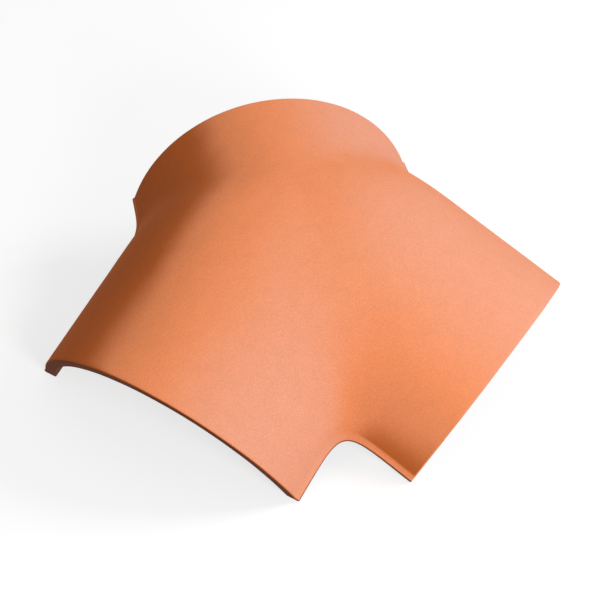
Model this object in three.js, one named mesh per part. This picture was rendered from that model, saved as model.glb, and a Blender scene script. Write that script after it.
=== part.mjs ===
// A clay three-way junction tile: it caps the point where a level roof ridge meets two hips.
// One moulded and fired piece. Three arched arms of one section run together: the ridge arm lies level
// along +Y, and the two hip arms leave it 90 degrees apart in plan and fall to the left and the right.
// The shell is a loft. The wall's section slides along paths that follow one arm, turn in the valley and
// follow the next arm. The turn is tight at the foot and opens out towards the crown, so that the arms
// blend without a crease.
// Millimetres, +Z up. It stands on the four foot corners of the hip arms.
import * as THREE from "three";
import { mergeVertices } from "three/addons/utils/BufferGeometryUtils.js";

const { degToRad, lerp } = THREE.MathUtils;

// Driving dimensions
const HALF_WIDTH = 130; // centre line of an arm to the outside of its foot
const RISE = 96; // foot to the outside of the crown, square to the arm
const WALL = 11;
const ARRIS = 2.5; // radius left by the sponge on every edge
const RIDGE_LENGTH = 103; // junction centre to the end of the ridge arm
const HIP_LENGTH = 195; // junction centre to the foot of a hip arm's end, in plan
const HIP_SLOPE = degToRad(21);
const HIP_PLAN_ANGLE = degToRad(90); // between the two hip arms

// Turn of the valleys, each as the length from the sharp corner to the start of the turn
const RIDGE_VALLEY = { atFoot: 15, fanning: 52 }; // between the ridge arm and a hip arm
const HIP_VALLEY = { atFoot: 50, fanning: 124 }; // between the two hip arms
const FAN_SPREAD = 0.55; // how soon above the foot the turn opens out
const FAN_CLOSING = 0.58; // how late it closes again at the crown

// Lengths over which the fall of the hip arms is eased
const CROWN_EASING = 88; // from level to the full slope, at the crown
const FOOT_EASING = 32; // and at the foot
const HIP_EASING = 36; // from one hip arm's fall to the other's

// Fineness of the loft
const SKIN_STEPS = 14; // round each skin, from crown to foot
const ARRIS_STEPS = 3;
const STRAIGHT_STEPS = 8; // from an arm's end to the turn
const TURN_STEPS = 14; // through the turn
const WELD_DISTANCE = 1e-3; // points closer than this are one
const LEAST_AREA = 1e-6; // triangles smaller than this have shrunk to a line or a point

// The skins of the wall are arcs round one centre, which lies below the foot.
const CENTRE_DROP = (HALF_WIDTH ** 2 - RISE ** 2) / (2 * RISE);
const SKIN_RADIUS = RISE + CENTRE_DROP;

// A hip arm's feet start to fall where they meet the ridge arm's level ones.
const FALL_START = HALF_WIDTH * Math.tan(HIP_PLAN_ANGLE / 4);

// An arm leaves the junction centre along a direction in plan.
const ridge = { direction: new THREE.Vector2(0, 1), slope: 0, length: RIDGE_LENGTH };
const leftHip = hipArm(-1);
const rightHip = hipArm(1);

function hipArm(side) {
  const x = side * Math.sin(HIP_PLAN_ANGLE / 2);
  const direction = new THREE.Vector2(x, -Math.cos(HIP_PLAN_ANGLE / 2));
  return { direction, slope: HIP_SLOPE, length: HIP_LENGTH };
}

// The side of an arm that faces another arm, as a unit vector square to the arm in plan.
function sideTowards(arm, other) {
  const side = new THREE.Vector2(-arm.direction.y, arm.direction.x);
  return side.dot(other.direction) < 0 ? side.negate() : side;
}

// A point of the section: x is its place across the arm, and y its height over the foot.
function onArc(radius, angle) {
  return new THREE.Vector2(radius * Math.sin(angle), radius * Math.cos(angle));
}

// The wall's section on one side of the arm, from the outside of the crown round the foot to the inside
// of the crown. An inset draws all of it in, for the arris round an arm's end.
function wallSection(inset) {
  const reach = Math.max(inset, ARRIS);
  const skinPoints = (radius, arrisCentre, arrisStart) => {
    const footAngle = Math.acos((reach + CENTRE_DROP) / arrisCentre);
    const points = [];
    for (let i = 0; i <= SKIN_STEPS; i++) points.push(onArc(radius, (footAngle * i) / SKIN_STEPS));
    for (let i = 1; i <= ARRIS_STEPS; i++) {
      const angle = lerp(footAngle + arrisStart, Math.PI, i / ARRIS_STEPS);
      points.push(onArc(arrisCentre, footAngle).add(onArc(reach - inset, angle)));
    }
    return points;
  };
  const outside = skinPoints(SKIN_RADIUS - inset, SKIN_RADIUS - reach, 0);
  const innerRadius = SKIN_RADIUS - WALL;
  const inside = skinPoints(innerRadius + inset, innerRadius + reach, Math.PI);
  const section = [...outside, ...inside.reverse()];
  return section.map((point) => point.setY(point.y - CENTRE_DROP));
}

// Distance of a section's point from the centre of the skins' arcs.
function fromArcCentre(point) {
  return Math.hypot(point.x, point.y + CENTRE_DROP);
}

// How far down its skin a section's point lies: 0 at the crown, 1 at the foot.
function shareDown(point) {
  const footHalfWidth = Math.sqrt(fromArcCentre(point) ** 2 - CENTRE_DROP ** 2);
  return Math.min(point.x / footHalfWidth, 1);
}

// The lesser of two numbers, rounded off where they are closer than the easing.
function easedMin(a, b, easing) {
  const nearness = Math.max(easing - Math.abs(a - b), 0) / easing;
  return Math.min(a, b) - (nearness ** 3 * easing) / 6;
}

// A point of the section, stood over its place in plan. All of the shell falls with the distance along
// the hip arms, from where their feet leave the ridge arm's level.
function stand(place, point) {
  const alongHips = -easedMin(-place.dot(leftHip.direction), -place.dot(rightHip.direction), HIP_EASING);
  const grade = Math.tan(HIP_SLOPE);
  const fallen = point.y / Math.cos(HIP_SLOPE) - grade * (alongHips - FALL_START);
  const easing = grade * lerp(CROWN_EASING, FOOT_EASING, shareDown(point));
  return new THREE.Vector3(place.x, place.y, easedMin(point.y, fallen, easing));
}

// The place in plan of a section's point, carried along an arm to a distance from the junction centre.
function placeOn(arm, other, point, distance) {
  const place = arm.direction.clone().multiplyScalar(distance);
  return place.addScaledVector(sideTowards(arm, other), point.x);
}

// The path of a section's point from arm to arm, in plan: the distance at which it leaves the straight,
// and the curve of its turn, whose handles both lie on the sharp corner between the two straights. The
// turn widens with depth in the wall, which keeps the wall as thick in the valley as on the arms.
function turnPath(arm, other, valley, point) {
  const halfAngle = arm.direction.angleTo(other.direction) / 2;
  const corner = point.x / Math.tan(halfAngle);
  const down = shareDown(point);
  const depth = SKIN_RADIUS - fromArcCentre(point);
  const atFoot = valley.atFoot + depth / Math.tan(halfAngle);
  const width = (atFoot + valley.fanning * (1 - down) ** FAN_SPREAD) * down ** FAN_CLOSING;
  const start = placeOn(arm, other, point, corner + width);
  const middle = placeOn(arm, other, point, corner);
  const finish = placeOn(other, arm, point, corner + width);
  return { leaves: corner + width, curve: new THREE.CubicBezierCurve(start, middle, middle, finish) };
}

// Rows of points along the straight of an arm: half of its end face, the arris round it, and the stretch
// to the turn.
function straightRows(arm, other, valley) {
  const stations = [{ inset: WALL / 2, setback: 0, share: 0 }];
  for (let i = 0; i <= ARRIS_STEPS; i++) {
    const angle = ((Math.PI / 2) * i) / ARRIS_STEPS;
    const inset = ARRIS * (1 - Math.sin(angle));
    stations.push({ inset, setback: ARRIS * (1 - Math.cos(angle)), share: 0 });
  }
  for (let i = 1; i <= STRAIGHT_STEPS; i++) {
    stations.push({ inset: 0, setback: ARRIS, share: i / STRAIGHT_STEPS });
  }
  return stations.map(({ inset, setback, share }) =>
    wallSection(inset).map((point) => {
      const end = arm.length + point.y * Math.sin(arm.slope) - setback * Math.cos(arm.slope);
      const distance = lerp(end, turnPath(arm, other, valley, point).leaves, share);
      return stand(placeOn(arm, other, point, distance), point);
    }),
  );
}

// Rows of points through the turn, without its first and last.
function turnRows(arm, other, valley) {
  const section = wallSection(0);
  const curves = section.map((point) => turnPath(arm, other, valley, point).curve);
  const rows = [];
  for (let i = 1; i < TURN_STEPS; i++) {
    rows.push(section.map((point, j) => stand(curves[j].getPoint(i / TURN_STEPS), point)));
  }
  return rows;
}

// Triangles of a grid of points, each cell cut along its shorter diagonal.
function gridTriangles(rows) {
  const triangles = [];
  const add = (...corners) => {
    if (new THREE.Triangle(...corners).getArea() > LEAST_AREA) triangles.push(...corners);
  };
  for (let i = 0; i + 1 < rows.length; i++) {
    for (let j = 0; j + 1 < rows[i].length; j++) {
      const [a, b, c, d] = [rows[i][j], rows[i + 1][j], rows[i + 1][j + 1], rows[i][j + 1]];
      if (a.distanceTo(c) < b.distanceTo(d)) {
        add(a, c, b);
        add(a, d, c);
      } else {
        add(a, d, b);
        add(b, d, c);
      }
    }
  }
  return triangles;
}

function shellGeometry() {
  const valleys = [
    [ridge, leftHip, RIDGE_VALLEY],
    [leftHip, rightHip, HIP_VALLEY],
    [rightHip, ridge, RIDGE_VALLEY],
  ];
  const triangles = valleys.flatMap(([arm, other, valley]) =>
    gridTriangles([
      ...straightRows(arm, other, valley),
      ...turnRows(arm, other, valley),
      ...straightRows(other, arm, valley).reverse(),
    ]),
  );
  const geometry = new THREE.BufferGeometry().setFromPoints(triangles);
  const welded = mergeVertices(geometry, WELD_DISTANCE);
  welded.computeVertexNormals();
  return welded;
}

const terracotta = new THREE.MeshStandardMaterial({ color: 0xe08a5c, roughness: 0.75, metalness: 0 });

const tile = new THREE.Mesh(shellGeometry(), terracotta);
tile.name = "junction_tile";

// The origin is on the floor, under the middle of the tile's box.
const box = new THREE.Box3().setFromObject(tile);
tile.position.set(0, -(box.min.y + box.max.y) / 2, -box.min.z);

const part = new THREE.Group();
part.add(tile);

export default part;
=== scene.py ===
"""A clay junction tile for a roof: one moulded and fired shell, where a level ridge meets two hips.

Three arched arms of one section run together. The ridge arm lies level, and the two hip arms leave it
and fall to the left and the right. The shell is built from its rule as a Geometry Nodes tree: the wall's
section slides along paths that follow two arms and turn from one to the other in the valley between
them. The studio has a pale floor and soft lamps. Lengths are in metres.
"""

import math

import bpy
from mathutils import Matrix, Quaternion, Vector


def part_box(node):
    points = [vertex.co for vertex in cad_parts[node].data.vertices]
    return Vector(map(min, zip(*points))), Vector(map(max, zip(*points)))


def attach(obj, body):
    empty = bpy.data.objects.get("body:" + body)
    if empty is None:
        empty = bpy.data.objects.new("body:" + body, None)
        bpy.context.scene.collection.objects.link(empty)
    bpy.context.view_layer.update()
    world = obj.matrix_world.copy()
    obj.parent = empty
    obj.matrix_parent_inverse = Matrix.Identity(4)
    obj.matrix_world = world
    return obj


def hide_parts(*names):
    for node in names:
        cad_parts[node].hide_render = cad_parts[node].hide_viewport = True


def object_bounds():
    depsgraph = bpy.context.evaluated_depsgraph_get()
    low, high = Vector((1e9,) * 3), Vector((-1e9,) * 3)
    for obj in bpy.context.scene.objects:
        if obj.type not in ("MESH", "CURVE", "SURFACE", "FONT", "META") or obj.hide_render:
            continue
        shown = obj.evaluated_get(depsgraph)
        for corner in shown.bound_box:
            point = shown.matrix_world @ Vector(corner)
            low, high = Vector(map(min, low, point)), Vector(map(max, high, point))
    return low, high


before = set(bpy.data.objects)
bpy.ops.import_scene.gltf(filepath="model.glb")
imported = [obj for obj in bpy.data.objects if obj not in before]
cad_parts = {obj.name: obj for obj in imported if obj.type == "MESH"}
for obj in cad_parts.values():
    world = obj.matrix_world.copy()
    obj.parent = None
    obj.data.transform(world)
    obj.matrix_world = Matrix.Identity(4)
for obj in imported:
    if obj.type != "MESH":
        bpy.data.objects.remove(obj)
CAD_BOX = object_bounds()

bl_info = {
    "name": "Clay junction tile",
    "version": (1, 0, 0),
    "blender": (4, 5, 0),
    "location": "View3D > Sidebar > Clay Tile",
    "description": "Builds a clay tile that joins a roof ridge to two hips, and a studio to see it in",
    "category": "Object",
}

TILE_NODE = "junction_tile"
TILE_BODY = "root"

# Fineness of the shell. Rows run along the arms, and columns run round the wall's section.
END_ROWS = 1  # half of an arm's end face
ARRIS_ROWS = 4
STRAIGHT_ROWS = 56
TURN_ROWS = 44  # half of a turn
SKIN_COLUMNS = 38
ROLL_COLUMNS = 10
WELD_DISTANCE = 0.00001  # points closer than this are one

# Waves of the fired skin: their width, and their height from hollow to top, which is given as a
# multiple of the waviness.
WAVES = ((0.08, 2.0), (0.02, 0.5))

# Patterns in the clay: the width of the lumps, and the detail and the roughness of the noise.
PATTERNS = {
    "clouds": (0.11, 3.0, 0.5),
    "mottle": (0.013, 4.0, 0.6),
    "grain": (0.0011, 2.0, 0.5),
    "sand": (0.0004, 1.0, 0.5),
}

# How far each pattern swings the clay's tone, its roughness and its relief.
TONE_SWINGS = {"clouds": 0.10, "mottle": 0.12, "grain": 0.42}
ROUGHNESS_SWINGS = {"mottle": 0.12, "grain": 0.10}
RELIEF_SWINGS = {"mottle": 0.35, "grain": 0.50, "sand": 0.25}
RELIEF_HEIGHT = 0.0004
RELIEF_STRENGTH = 0.35  # share of the relief that the bump shows
CLAY_GLOSS = 0.12  # plain plastic has 0.5

# Direction of the painted light and shade in the clay's colour, towards the lamps at the front and right:
# anticlockwise from the front, and over the floor.
PAINTED_LIGHT_BEARING = math.radians(58)
PAINTED_LIGHT_HEIGHT = math.radians(39)

# How squarely a place faces the direction of the painted light, from -1 to 1, at the start and the end of
# each change of tone: from painted shade to the clay's own colour, and from it to painted light.
PAINTED_SHADE_TO_CLAY = (0.15, 0.38)
CLAY_TO_PAINTED_LIGHT = (0.53, 0.96)
CLOUD_DRIFT = 0.15  # how far the clouds shift the changes of tone

# Depth in the wall, as a share of it, at the start and the end of the change to the painted shade, a dark
# brown.
FACE_TO_UNDERSIDE_SHADE = (0.04, 0.18)
# Past this share, down to the foot face, the roll is painted shade, a dark brown.
FACE_ON_ROLL = 0.25  # share of the foot's roll that keeps the colour of the face

# The studio
FLOOR_REACH = 60.0  # from the middle of the floor to its sides
FLOOR_ROUGHNESS = 0.9
LAMP_DISTANCE = 2.0
LAMP_SIZE = 0.6
IMAGE_SIZE = 600  # pixels, square
JUNCTION_IN_IMAGE = (293.8, 254.2)  # pixels, where the camera looks


class Value:
    """A socket of a node tree, with the operators that the formulas use."""

    def __init__(self, graph, socket):
        self.graph = graph
        self.socket = socket

    def __add__(self, other):
        return self.graph.math("ADD", self, other)

    def __radd__(self, other):
        return self.graph.math("ADD", other, self)

    def __sub__(self, other):
        return self.graph.math("SUBTRACT", self, other)

    def __rsub__(self, other):
        return self.graph.math("SUBTRACT", other, self)

    def __mul__(self, other):
        return self.graph.math("MULTIPLY", self, other)

    def __rmul__(self, other):
        return self.graph.math("MULTIPLY", other, self)

    def __truediv__(self, other):
        return self.graph.math("DIVIDE", self, other)

    def __rtruediv__(self, other):
        return self.graph.math("DIVIDE", other, self)

    def __pow__(self, exponent):
        return self.graph.math("POWER", self, exponent)

    def __gt__(self, other):
        return self.graph.math("GREATER_THAN", self, other)


class Graph:
    """A node tree that is filled from formulas."""

    def __init__(self, tree):
        self.tree = tree
        self.tree.nodes.clear()

    def node(self, kind, settings=None, inputs=None):
        """Adds a node: its settings come first, then the values or the links of its sockets."""
        node = self.tree.nodes.new(kind)
        for name, value in (settings or {}).items():
            setattr(node, name, value)
        for key, value in (inputs or {}).items():
            if isinstance(value, Value):
                self.tree.links.new(value.socket, node.inputs[key])
            else:
                node.inputs[key].default_value = value
        return node

    def value(self, kind, settings=None, inputs=None, output=0):
        """Adds a node and gives one of its outputs."""
        return Value(self, self.node(kind, settings, inputs).outputs[output])

    def math(self, operation, *values):
        return self.value("ShaderNodeMath", {"operation": operation}, dict(enumerate(values)))

    def sin(self, angle):
        return self.math("SINE", angle)

    def cos(self, angle):
        return self.math("COSINE", angle)

    def tan(self, angle):
        return self.math("TANGENT", angle)

    def sqrt(self, value):
        return self.math("SQRT", value)

    def larger(self, a, b):
        return self.math("MAXIMUM", a, b)

    def between(self, value, low=0.0, high=1.0):
        """The value, held between two limits."""
        return self.math("MINIMUM", self.larger(value, low), high)

    def choose(self, share, low, high):
        """The first number where the share is 0, the second where it is 1, and in between a mix."""
        return low + (high - low) * share

    def blend(self, share, first, second, mode="MIX"):
        """Mixes two colours."""
        settings = {"data_type": "RGBA", "blend_type": mode}
        inputs = {0: share, 6: first, 7: second}
        return self.value("ShaderNodeMix", settings, inputs, output=2)

    def noise(self, place, size, detail=2.0, roughness=0.5):
        """Soft noise that swings by 0.5 to either side of 0. Its lumps are about as wide as the size."""
        inputs = {"Vector": place, "Scale": 1.0 / size, "Detail": detail, "Roughness": roughness}
        return self.value("ShaderNodeTexNoise", {"noise_dimensions": "3D"}, inputs) - 0.5

    def smooth_step(self, value, limits):
        """Rises from 0 at the first limit to 1 at the second, without a corner."""
        settings = {"interpolation_type": "SMOOTHSTEP"}
        inputs = {"Value": value, "From Min": limits[0], "From Max": limits[1]}
        return self.value("ShaderNodeMapRange", settings, inputs)

    def store(self, geometry, name, value):
        """Keeps a number on each point of a geometry, under a name."""
        settings = {"data_type": "FLOAT", "domain": "POINT"}
        inputs = {"Geometry": geometry, "Name": name, "Value": value}
        return self.value("GeometryNodeStoreNamedAttribute", settings, inputs)

    def stored(self, name):
        """Reads a kept number in a material."""
        return self.value("ShaderNodeAttribute", {"attribute_name": name}, output="Fac")


class TileShape(bpy.types.PropertyGroup):
    """Sizes of the tile."""

    half_width: bpy.props.FloatProperty(
        name="Half width", description="Centre line of an arm to the outside of its foot",
        default=0.130, min=0.05, max=0.3, unit="LENGTH")
    rise: bpy.props.FloatProperty(
        name="Rise", description="Foot to the outside of the crown, square to the arm",
        default=0.096, min=0.03, max=0.3, unit="LENGTH")
    wall: bpy.props.FloatProperty(
        name="Wall", description="Thickness of the clay",
        default=0.011, min=0.005, max=0.03, unit="LENGTH")
    arris: bpy.props.FloatProperty(
        name="Arris", description="Radius that the sponge leaves on the cut edges",
        default=0.0012, min=0.0005, max=0.005, unit="LENGTH")
    foot_roll: bpy.props.FloatProperty(
        name="Foot roll", description="Radius of the roll that runs along the outside of the feet",
        default=0.0022, min=0.001, max=0.005, unit="LENGTH")
    foot_lip: bpy.props.FloatProperty(
        name="Foot lip", description="How far the roll stands proud of the skin above it",
        default=0.0015, min=0.0, max=0.004, unit="LENGTH")
    ridge_length: bpy.props.FloatProperty(
        name="Ridge arm", description="Junction centre to the end of the ridge arm",
        default=0.103, min=0.08, max=0.5, unit="LENGTH")
    hip_length: bpy.props.FloatProperty(
        name="Hip arm", description="Junction centre to the foot of a hip arm's end, in plan",
        default=0.195, min=0.18, max=0.6, unit="LENGTH")
    hip_slope: bpy.props.FloatProperty(
        name="Hip slope", description="Fall of the hip arms",
        default=math.radians(21), min=math.radians(3), max=math.radians(45), subtype="ANGLE")
    hip_plan_angle: bpy.props.FloatProperty(
        name="Hip plan angle", description="Angle between the two hip arms, seen from above",
        default=math.radians(90), min=math.radians(60), max=math.radians(135), subtype="ANGLE")
    crown_easing: bpy.props.FloatProperty(
        name="Crown easing", description="Length over which the crown turns from level to the hip slope",
        default=0.088, min=0.001, max=0.15, unit="LENGTH")
    foot_easing: bpy.props.FloatProperty(
        name="Foot easing", description="Length over which the foot turns from level to the hip slope",
        default=0.032, min=0.001, max=0.15, unit="LENGTH")
    hip_easing: bpy.props.FloatProperty(
        name="Hip easing", description="Length over which one hip arm's fall passes into the other's",
        default=0.036, min=0.001, max=0.06, unit="LENGTH")
    ridge_valley: bpy.props.FloatProperty(
        name="Ridge valley", description="Turn of the foot edge between the ridge arm and a hip arm",
        default=0.044, min=0.005, max=0.05, unit="LENGTH")
    hip_valley: bpy.props.FloatProperty(
        name="Hip valley", description="Turn of the foot edge between the two hip arms",
        default=0.050, min=0.005, max=0.06, unit="LENGTH")
    ridge_fanning: bpy.props.FloatProperty(
        name="Ridge fanning", description="How much wider the ridge valleys turn towards the crown",
        default=0.030, min=0.0, max=0.2, unit="LENGTH")
    hip_fanning: bpy.props.FloatProperty(
        name="Hip fanning", description="How much wider the hip valley turns towards the crown",
        default=0.124, min=0.0, max=0.3, unit="LENGTH")
    fan_spread: bpy.props.FloatProperty(
        name="Fan spread", description="How soon above the foot a valley's turn opens out",
        default=0.55, min=0.1, max=3.0)
    fan_closing: bpy.props.FloatProperty(
        name="Fan closing", description="How late a valley's turn closes again at the crown",
        default=0.58, min=0.1, max=2.0)
    waviness: bpy.props.FloatProperty(
        name="Waviness", description="How far the fired skin strays from true",
        default=0.0003, min=0.0, max=0.002, unit="LENGTH")


class TileFinish(bpy.types.PropertyGroup):
    """Colours of the fired clay, and of the light and shade painted on it."""

    clay: bpy.props.FloatVectorProperty(
        name="Clay", description="Colour of the fired face",
        default=(0.905, 0.286, 0.114), min=0.0, max=1.0, size=3, subtype="COLOR")
    # Painted light: a paler tone on the side turned to the lamps.
    bloom: bpy.props.FloatVectorProperty(
        name="Bloom", description="Paler colour, on the side that faced the fire",
        default=(0.730, 0.304, 0.190), min=0.0, max=1.0, size=3, subtype="COLOR")
    # Painted shade: a deeper tone on the side turned away from the lamps.
    burnt: bpy.props.FloatVectorProperty(
        name="Burnt", description="Deeper colour, on the side away from the fire",
        default=(0.60, 0.140, 0.028), min=0.0, max=1.0, size=3, subtype="COLOR")
    # Painted shade: a dark brown on the cut ends, the feet and the underside.
    core: bpy.props.FloatVectorProperty(
        name="Core", description="Brown of the cut ends, the feet and the underside",
        default=(0.21, 0.055, 0.023), min=0.0, max=1.0, size=3, subtype="COLOR")
    roughness: bpy.props.FloatProperty(
        name="Roughness", description="Roughness of the matt face",
        default=0.75, min=0.1, max=1.0, subtype="FACTOR")


class StudioLook(bpy.types.PropertyGroup):
    """Camera, lamps and ground."""

    view_bearing: bpy.props.FloatProperty(
        name="View bearing", description="Place of the camera, anticlockwise from the front",
        default=math.radians(-12.58), subtype="ANGLE")
    view_height: bpy.props.FloatProperty(
        name="View height", description="Height of the camera, as an angle over the floor",
        default=math.radians(41.87), subtype="ANGLE")
    roll: bpy.props.FloatProperty(
        name="Roll", description="Tilt of the camera about its line of sight",
        default=math.radians(0.38), subtype="ANGLE")
    distance: bpy.props.FloatProperty(
        name="Distance", description="Camera to the junction centre",
        default=1.270, min=0.2, max=10.0, unit="LENGTH")
    lens: bpy.props.FloatProperty(
        name="Lens", description="Focal length of the camera",
        default=85.6, min=20.0, max=300.0, unit="CAMERA")
    front_power: bpy.props.FloatProperty(
        name="Front lamp", description="Power of the soft lamp in front",
        default=20.6, min=0.0, max=500.0, subtype="POWER")
    front_bearing: bpy.props.FloatProperty(
        name="Front bearing", description="Place of the front lamp, anticlockwise from the front",
        default=math.radians(15.0), subtype="ANGLE")
    front_height: bpy.props.FloatProperty(
        name="Front height", description="Height of the front lamp, as an angle over the floor",
        default=math.radians(25.0), subtype="ANGLE")
    side_power: bpy.props.FloatProperty(
        name="Side lamp", description="Power of the soft lamp to the right",
        default=21.6, min=0.0, max=500.0, subtype="POWER")
    side_bearing: bpy.props.FloatProperty(
        name="Side bearing", description="Place of the side lamp, anticlockwise from the front",
        default=math.radians(90.0), subtype="ANGLE")
    side_height: bpy.props.FloatProperty(
        name="Side height", description="Height of the side lamp, as an angle over the floor",
        default=math.radians(38.0), subtype="ANGLE")
    sky: bpy.props.FloatProperty(
        name="Sky", description="Strength of the light from all round",
        default=0.40, min=0.0, max=2.0)
    ground: bpy.props.FloatProperty(
        name="Ground", description="Paint of the floor, which takes the shadow",
        default=0.35, min=0.0, max=1.0, subtype="FACTOR")
    ground_glow: bpy.props.FloatProperty(
        name="Ground glow", description="Light of its own that brings the floor up to white",
        default=0.70, min=0.0, max=1.0, subtype="FACTOR")
    bounce: bpy.props.FloatProperty(
        name="Bounce", description="Paint of the floor for the light that it throws back on the tile",
        default=0.06, min=0.0, max=1.0, subtype="FACTOR")


# Every size of the tile is an input of the shell's node tree, such as Half Width for half_width.
SIZE_LABELS = {name: name.replace("_", " ").title() for name in TileShape.__annotations__}

# Inputs of the tree for one valley: the shared sizes, the two arms, and the valley's own turn.
SHARED_INPUTS = ("Half Width", "Rise", "Wall", "Arris", "Foot Roll", "Foot Lip", "Hip Slope",
                 "Hip Plan Angle", "Crown Easing", "Foot Easing", "Hip Easing", "Fan Spread",
                 "Fan Closing")
ARM_INPUTS = ("Heading", "Slope", "Length")
VALLEY_INPUTS = ("Valley", "Fanning")


def towards(bearing, height):
    """The direction of a bearing, anticlockwise from the front, and of a height over the floor."""
    return Vector((math.sin(bearing) * math.cos(height), -math.cos(bearing) * math.cos(height),
                   math.sin(height)))


def grey(level):
    return (level, level, level, 1.0)


def add_object(name, data):
    """A new object in the scene, at the origin."""
    added = bpy.data.objects.new(name, data)
    bpy.context.scene.collection.objects.link(added)
    return added


def new_group(name, inputs):
    """A Geometry Nodes tree with number inputs and one geometry output."""
    tree = bpy.data.node_groups.new(name, "GeometryNodeTree")
    for label in inputs:
        tree.interface.new_socket(name=label, in_out="INPUT", socket_type="NodeSocketFloat")
    tree.interface.new_socket(name="Geometry", in_out="OUTPUT", socket_type="NodeSocketGeometry")
    graph = Graph(tree)
    entry = graph.node("NodeGroupInput")
    return graph, {label: Value(graph, entry.outputs[label]) for label in inputs}


def new_material(name):
    material = bpy.data.materials.new(name)
    material.use_nodes = True
    return material, Graph(material.node_tree)


def standing_height(graph, size, x, y, height, down):
    """Height over the ridge arm's foot, of a point of the section that stands at this place in plan.

    All of the shell falls with the distance along the hip arms, from where their feet leave the ridge
    arm's level.
    """
    half_angle = size["Hip Plan Angle"] / 2.0
    sideways, forward = x * graph.sin(half_angle), -1.0 * y * graph.cos(half_angle)
    along_hips = graph.math("SMOOTH_MAX", forward - sideways, forward + sideways, size["Hip Easing"])
    grade = graph.tan(size["Hip Slope"])
    fall_start = size["Half Width"] * graph.tan(half_angle / 2.0)
    fallen = height / graph.cos(size["Hip Slope"]) - grade * (along_hips - fall_start)
    easing = grade * graph.choose(down, size["Crown Easing"], size["Foot Easing"])
    return graph.math("SMOOTH_MIN", height, fallen, easing)


def wall_section(graph, size, column, outer, inset, beyond_face):
    """A point of the wall's section: its place across the arm, and its height over the foot.

    The skins are two arcs round one centre, which lies below the foot. The inner one meets the foot
    face in an arris, and the outer one in a roll that stands a little proud. An inset draws the whole
    section in, for the arris round an arm's end, and along the middle of the end face both skins meet.
    It also gives how far the skins' centre lies below the foot, and the radius of the outer skin.
    """
    half_width, rise, wall = size["Half Width"], size["Rise"], size["Wall"]
    drop = (half_width * half_width - rise * rise) / (2.0 * rise)
    radius = rise + drop
    reach = graph.larger(inset, graph.choose(outer, size["Arris"], size["Foot Roll"]))
    skin = graph.choose(outer, radius - wall + inset, radius - inset)
    rounding = reach - inset

    # Centre of the rounding at the foot, from the centre of the skins.
    plain = graph.choose(outer, radius - wall + reach, radius - reach)
    foot_angle = graph.math("ARCCOSINE", (reach + drop) / plain)
    lip = size["Foot Lip"] * outer * beyond_face
    aside, above = plain * graph.sin(foot_angle) + lip, reach + drop

    # Where the skin runs into the rounding.
    apart = graph.sqrt(aside * aside + above * above)
    cosine = (skin * skin + apart * apart - rounding * rounding) / (2.0 * skin * apart)
    skin_end = graph.math("ARCTAN2", aside, above) - graph.math("ARCCOSINE", cosine)
    skin_end_aside, skin_end_above = skin * graph.sin(skin_end), skin * graph.cos(skin_end)
    roll_start = graph.math("ARCTAN2", skin_end_aside - aside, skin_end_above - above)
    start = graph.choose(outer, foot_angle + math.pi, roll_start)

    along_skin = skin_end * graph.between(column / SKIN_COLUMNS)
    turned = graph.choose(graph.between((column - SKIN_COLUMNS) / ROLL_COLUMNS), start, math.pi)
    across = skin * graph.sin(along_skin) + rounding * (graph.sin(turned) - graph.sin(start))
    height = skin * graph.cos(along_skin) + rounding * (graph.cos(turned) - graph.cos(start)) - drop
    return across, height, drop, radius


def turned_path(graph, angle, across, corner, turn_start, along, turn):
    """A place on a path that leaves its arm in a turn: how far along the arm, and how far across it.

    The turn is a curve with both its handles on the corner, where the straight lines of the two arms
    would meet. The angle is the one between the arms.
    """
    stay = (1.0 - turn) ** 3.0
    bend = 3.0 * turn * (1.0 - turn)
    leave = turn ** 3.0
    sin_angle, cos_angle = graph.sin(angle), graph.cos(angle)
    far_along = turn_start * cos_angle + across * sin_angle
    far_across = turn_start * sin_angle - across * cos_angle
    path_along = along - turn_start + stay * turn_start + bend * corner + leave * far_along
    path_across = across * (stay + bend) + leave * far_across
    return path_along, path_across


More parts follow.
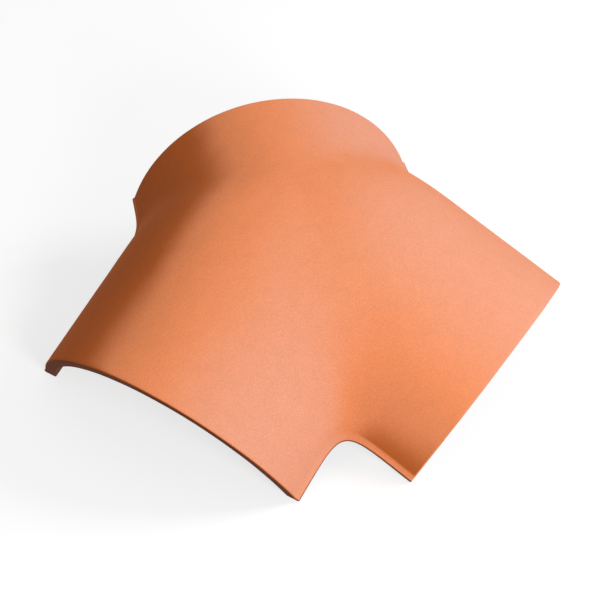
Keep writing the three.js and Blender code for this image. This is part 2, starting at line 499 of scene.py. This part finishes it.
def valley_tree():
    """The part of the shell that lies between the crown lines of two neighbouring arms."""
    labels = SHARED_INPUTS + VALLEY_INPUTS
    labels += tuple(f"{arm} {label}" for arm in ("First", "Second") for label in ARM_INPUTS)
    graph, size = new_group("Valley between two arms", labels)

    # The grid's own place gives each point's row and column, counted from the nearest edge. The flat
    # face of the foot lies between the last columns of the two skins.
    half_rows = END_ROWS + ARRIS_ROWS + STRAIGHT_ROWS + TURN_ROWS
    half_columns = SKIN_COLUMNS + ROLL_COLUMNS + 0.5
    grid = graph.value("GeometryNodeMeshGrid", inputs={
        "Size X": 2.0 * half_rows, "Size Y": 2.0 * half_columns,
        "Vertices X": 2 * half_rows + 1, "Vertices Y": int(2 * half_columns) + 1})
    split = graph.node("ShaderNodeSeparateXYZ", inputs={0: graph.value("GeometryNodeInputPosition")})
    x, y = Value(graph, split.outputs["X"]), Value(graph, split.outputs["Y"])
    row = half_rows - graph.math("ABSOLUTE", x)
    column = half_columns - graph.math("ABSOLUTE", y)
    outer = y > 0.0
    second = x > 0.0

    # The sizes of the arm on the point's own side of the turn.
    near = {label: graph.choose(second, size["First " + label], size["Second " + label])
            for label in ARM_INPUTS}

    # Rows: half of the end face, the arris round it, the straight stretch and half of the turn.
    beyond_face = row > 0.5
    past_end = row - END_ROWS
    round_end = graph.between(past_end / ARRIS_ROWS) * (math.pi / 2)
    inset = graph.choose(beyond_face, size["Wall"] / 2.0, size["Arris"] * (1.0 - graph.sin(round_end)))
    setback = size["Arris"] * (1.0 - graph.cos(round_end))
    straight = graph.between((past_end - ARRIS_ROWS) / STRAIGHT_ROWS)
    turn = graph.between((past_end - ARRIS_ROWS - STRAIGHT_ROWS) / TURN_ROWS) * 0.5

    across, height, drop, radius = wall_section(graph, size, column, outer, inset, beyond_face)

    # How far down its skin the point lies, from 0 at the crown to 1 at the foot.
    out = graph.sqrt(across * across + (height + drop) * (height + drop))
    depth = radius - out
    foot = graph.sqrt(out * out - drop * drop)
    down = graph.between(across / foot)

    # The turn opens out above the foot and closes at the crown, and it widens with depth in the wall.
    angle = size["Second Heading"] - size["First Heading"]
    widening = depth / graph.tan(angle / 2.0)
    fanning = size["Fanning"] * (1.0 - down) ** size["Fan Spread"]
    width = (size["Valley"] + widening + fanning) * down ** size["Fan Closing"]
    corner = across / graph.tan(angle / 2.0)
    turn_start = corner + width
    end = near["Length"] + height * graph.sin(near["Slope"]) - setback * graph.cos(near["Slope"])
    along = graph.choose(straight, end, turn_start)
    path_along, path_across = turned_path(graph, angle, across, corner, turn_start, along, turn)

    side = 1.0 - 2.0 * second
    cos_heading, sin_heading = graph.cos(near["Heading"]), graph.sin(near["Heading"])
    plan_x = path_along * cos_heading - side * path_across * sin_heading
    plan_y = path_along * sin_heading + side * path_across * cos_heading
    spot = graph.value("ShaderNodeCombineXYZ", inputs={
        0: plan_x, 1: plan_y, 2: standing_height(graph, size, plan_x, plan_y, height, down)})

    # Painted shade, a dark brown, starts in the wall's depth, and part of the way down the roll of the
    # foot. It is stored before the points move, because it follows from their rows and columns.
    rolled = outer * graph.between((column - SKIN_COLUMNS) / ROLL_COLUMNS)
    core = graph.larger(depth / size["Wall"], rolled - FACE_ON_ROLL)
    marked = graph.store(grid, "core", core)
    moved = graph.value("GeometryNodeSetPosition", inputs={"Geometry": marked, "Position": spot})
    graph.node("NodeGroupOutput", inputs={"Geometry": moved})
    return graph.tree


def shell_tree(material):
    """The whole shell: three valleys, joined along the crown lines."""
    graph, size = new_group("Junction shell", SIZE_LABELS.values())
    valley = valley_tree()
    half_angle = size["Hip Plan Angle"] / 2.0
    full_turn = 2.0 * math.pi
    shared = {label: size[label] for label in SHARED_INPUTS}
    ridge = {"Heading": 0.25 * full_turn, "Slope": 0.0, "Length": size["Ridge Length"]}
    hip = {"Slope": size["Hip Slope"], "Length": size["Hip Length"]}
    left_hip = {**hip, "Heading": 0.75 * full_turn - half_angle}
    right_hip = {**hip, "Heading": 0.75 * full_turn + half_angle}
    ridge_again = {**ridge, "Heading": 1.25 * full_turn}
    joined = graph.node("GeometryNodeJoinGeometry")
    for first, second, kind in ((ridge, left_hip, "Ridge"), (left_hip, right_hip, "Hip"),
                                (right_hip, ridge_again, "Ridge")):
        inputs = {**shared, **{label: size[f"{kind} {label}"] for label in VALLEY_INPUTS}}
        inputs.update({"First " + label: value for label, value in first.items()})
        inputs.update({"Second " + label: value for label, value in second.items()})
        patch = graph.value("GeometryNodeGroup", {"node_tree": valley}, inputs)
        graph.tree.links.new(patch.socket, joined.inputs["Geometry"])
    whole = graph.value("GeometryNodeMergeByDistance", inputs={
        "Geometry": Value(graph, joined.outputs["Geometry"]), "Distance": WELD_DISTANCE})

    # The fired skin strays a little from true, square to itself.
    place = graph.value("GeometryNodeInputPosition")
    normal = graph.value("GeometryNodeInputNormal")
    swell = sum(graph.noise(place, width) * share for width, share in WAVES)
    offset = graph.value("ShaderNodeVectorMath", {"operation": "SCALE"},
                         {0: normal, "Scale": swell * size["Waviness"]})
    worn = graph.value("GeometryNodeSetPosition", inputs={"Geometry": whole, "Offset": offset})
    smooth = graph.value("GeometryNodeSetShadeSmooth", inputs={"Geometry": worn, "Shade Smooth": True})

    # Painted light and shade: how squarely each point faces the lamps' side, kept for the material's
    # tones.
    painted_light_facing = graph.value("ShaderNodeVectorMath", {"operation": "DOT_PRODUCT"},
                            {0: normal, 1: towards(PAINTED_LIGHT_BEARING, PAINTED_LIGHT_HEIGHT)}, output="Value")
    with_painted_light = graph.store(smooth, "painted_light_facing", painted_light_facing)
    real = graph.value("GeometryNodeRealizeInstances", inputs={"Geometry": with_painted_light})
    fired = graph.value("GeometryNodeSetMaterial", inputs={"Geometry": real, "Material": material})
    graph.node("NodeGroupOutput", inputs={"Geometry": fired})
    return graph.tree


def terracotta(finish):
    """Matt fired clay: clouds, mottling and grain in its tone, painted shade on the side away from the
    lamps and painted light on the side towards them, and dark brown painted shade on the ends, the feet
    and the underside.
    """
    material, graph = new_material("fired_terracotta")
    tones = (finish.burnt, finish.clay, finish.bloom, finish.core)
    burnt, clay, bloom, core = ((*tone, 1.0) for tone in tones)
    place = graph.value("ShaderNodeTexCoord", output="Object")
    patterns = {name: graph.noise(place, *lumps) for name, lumps in PATTERNS.items()}

    def together(swings):
        return sum(patterns[name] * swing for name, swing in swings.items())

    # Painted shade and light: the side turned away from the lamps is painted a deep tone, and the side
    # turned to them a paler one.
    facing = graph.stored("painted_light_facing") + CLOUD_DRIFT * patterns["clouds"]
    colour = graph.blend(graph.smooth_step(facing, PAINTED_SHADE_TO_CLAY), burnt, clay)
    colour = graph.blend(graph.smooth_step(facing, CLAY_TO_PAINTED_LIGHT), colour, bloom)
    tint = 1.0 + together(TONE_SWINGS)
    shade = graph.value("ShaderNodeCombineXYZ", inputs={0: tint, 1: tint, 2: tint})
    colour = graph.blend(1.0, colour, shade, mode="MULTIPLY")
    # Painted shade: dark brown over the cut ends, the inner skin and the lower roll of the feet.
    colour = graph.blend(graph.smooth_step(graph.stored("core"), FACE_TO_UNDERSIDE_SHADE), colour, core)

    bump = graph.value("ShaderNodeBump", inputs={
        "Strength": RELIEF_STRENGTH, "Distance": RELIEF_HEIGHT,
        "Height": together(RELIEF_SWINGS)}, output="Normal")
    shader = graph.value("ShaderNodeBsdfPrincipled", inputs={
        "Base Color": colour, "Roughness": finish.roughness + together(ROUGHNESS_SWINGS),
        "Normal": bump, "Specular IOR Level": CLAY_GLOSS})
    graph.node("ShaderNodeOutputMaterial", inputs={"Surface": shader})
    return material


def mesh_from_tree(tree, sizes):
    """What a node tree gives for these sizes, which go by its inputs' names, as a plain mesh."""
    blank = add_object("blank", bpy.data.meshes.new("blank"))
    modifier = blank.modifiers.new("Shell", "NODES")
    modifier.node_group = tree
    for item in tree.interface.items_tree:
        if item.in_out == "INPUT":
            modifier[item.identifier] = sizes[item.name]
    evaluated = blank.evaluated_get(bpy.context.evaluated_depsgraph_get())
    mesh = bpy.data.meshes.new_from_object(evaluated)
    bpy.data.objects.remove(blank)
    return mesh


class TILE_OT_make_shell(bpy.types.Operator):
    """Build the fired shell in place of its CAD node"""

    bl_idname = "tile.make_shell"
    bl_label = "Make the shell"

    def execute(self, context):
        shape = context.scene.tile_shape
        tree = shell_tree(terracotta(context.scene.tile_finish))
        sizes = {label: getattr(shape, name) for name, label in SIZE_LABELS.items()}
        mesh = mesh_from_tree(tree, sizes)
        if not mesh.polygons:
            raise RuntimeError("the shell's node tree gave no faces")

        # The tile stands where its CAD node stands: ridge end to ridge end, and foot to floor.
        low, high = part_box(TILE_NODE)
        lowest = min(vertex.co.z for vertex in mesh.vertices)
        furthest = max(vertex.co.y for vertex in mesh.vertices)
        mesh.transform(Matrix.Translation((0.0, high.y - furthest, low.z - lowest)))
        mesh.name = "clay_tile"
        tile = add_object("clay_tile", mesh)
        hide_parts(TILE_NODE)
        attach(tile, TILE_BODY)
        return {"FINISHED"}


def seen_rays(graph):
    """1 for rays that the camera sees, also in glass or a reflection, and 0 for those that give light."""
    path = graph.node("ShaderNodeLightPath")
    camera, glossy, transmitted = (Value(graph, path.outputs[f"Is {kind} Ray"])
                                   for kind in ("Camera", "Glossy", "Transmission"))
    return graph.larger(graph.larger(camera, glossy), transmitted)


def floor_paint(look):
    """Pale paint. What is seen of it, also in a reflection, is brought up to white but for shadows."""
    material, graph = new_material("floor_paint")
    seen = seen_rays(graph)
    paint = graph.blend(seen, grey(look.bounce), grey(look.ground))
    glow = graph.blend(seen, grey(0.0), grey(look.ground_glow))
    shader = graph.value("ShaderNodeBsdfPrincipled", inputs={
        "Base Color": paint, "Roughness": FLOOR_ROUGHNESS, "Specular IOR Level": 0.0,
        "Emission Color": glow, "Emission Strength": 1.0})
    graph.node("ShaderNodeOutputMaterial", inputs={"Surface": shader})
    return material


def make_floor(look, level):
    """A wide floor at a level."""
    mesh = bpy.data.meshes.new("floor")
    sides = ((-1, -1), (1, -1), (1, 1), (-1, 1))
    corners = [(x * FLOOR_REACH, y * FLOOR_REACH, level) for x, y in sides]
    mesh.from_pydata(corners, [], [(0, 1, 2, 3)])
    mesh.materials.append(floor_paint(look))
    return add_object("floor", mesh)


def make_lamp(name, power, bearing, height, target):
    """A square soft box, turned to face a target."""
    data = bpy.data.lights.new(name, "AREA")
    data.energy = power
    data.size = LAMP_SIZE
    lamp = add_object(name, data)
    outward = towards(bearing, height)
    lamp.location = target + LAMP_DISTANCE * outward
    lamp.rotation_euler = outward.to_track_quat("Z", "Y").to_euler()


def make_world(look):
    """Even light from all round. What is seen of it is white."""
    world = bpy.data.worlds.new("studio_light")
    world.use_nodes = True
    graph = Graph(world.node_tree)
    sky = graph.value("ShaderNodeBackground", inputs={"Color": grey(1.0), "Strength": look.sky})
    white = graph.value("ShaderNodeBackground", inputs={"Color": grey(1.0), "Strength": 1.0})
    mixed = graph.value("ShaderNodeMixShader", inputs={0: seen_rays(graph), 1: sky, 2: white})
    graph.node("ShaderNodeOutputWorld", inputs={"Surface": mixed})
    return world


def make_camera(look, target):
    """A camera that looks at a target and shows it at its place in the image."""
    camera = add_object("camera", bpy.data.cameras.new("camera"))
    outward = towards(look.view_bearing, look.view_height)
    camera.location = target + look.distance * outward
    level = outward.to_track_quat("Z", "Y")
    camera.rotation_euler = (level @ Quaternion((0.0, 0.0, 1.0), look.roll)).to_euler()
    camera.data.lens = look.lens
    camera.data.shift_x = (IMAGE_SIZE / 2 - JUNCTION_IN_IMAGE[0]) / IMAGE_SIZE
    camera.data.shift_y = (JUNCTION_IN_IMAGE[1] - IMAGE_SIZE / 2) / IMAGE_SIZE
    return camera


class TILE_OT_make_studio(bpy.types.Operator):
    """Lay out the floor, the lamps, the world and the camera"""

    bl_idname = "tile.make_studio"
    bl_label = "Make the studio"

    def execute(self, context):
        scene = context.scene
        look = scene.studio_look
        shape = scene.tile_shape
        low, high = CAD_BOX
        scene.view_settings.view_transform = "Standard"

        # The junction centre, at the level of the ridge arm's foot.
        junction = Vector((0.0, high.y - shape.ridge_length, high.z - shape.rise))

        floor = make_floor(look, low.z)
        make_lamp("front_lamp", look.front_power, look.front_bearing, look.front_height, junction)
        make_lamp("side_lamp", look.side_power, look.side_bearing, look.side_height, junction)
        scene.world = make_world(look)
        scene.camera = make_camera(look, junction)
        return {"FINISHED"}


class TILE_PT_panel(bpy.types.Panel):
    """Lists the tile's sizes and colours, the studio's settings, and the steps that build both"""

    bl_label = "Clay junction tile"
    bl_idname = "TILE_PT_panel"
    bl_space_type = "VIEW_3D"
    bl_region_type = "UI"
    bl_category = "Clay Tile"

    def draw(self, context):
        for title, settings, operator in (
            ("Shape", context.scene.tile_shape, "tile.make_shell"),
            ("Finish", context.scene.tile_finish, None),
            ("Studio", context.scene.studio_look, "tile.make_studio"),
        ):
            box = self.layout.box()
            box.label(text=title)
            for name in settings.__annotations__:
                box.prop(settings, name)
            if operator:
                box.operator(operator)


CLASSES = (TileShape, TileFinish, StudioLook, TILE_OT_make_shell, TILE_OT_make_studio, TILE_PT_panel)


def register():
    for cls in CLASSES:
        bpy.utils.register_class(cls)
    bpy.types.Scene.tile_shape = bpy.props.PointerProperty(type=TileShape)
    bpy.types.Scene.tile_finish = bpy.props.PointerProperty(type=TileFinish)
    bpy.types.Scene.studio_look = bpy.props.PointerProperty(type=StudioLook)


def unregister():
    del bpy.types.Scene.studio_look
    del bpy.types.Scene.tile_finish
    del bpy.types.Scene.tile_shape
    for cls in reversed(CLASSES):
        bpy.utils.unregister_class(cls)


def main():
    register()
    bpy.ops.tile.make_shell()
    bpy.ops.tile.make_studio()


if __name__ == "__main__":
    main()
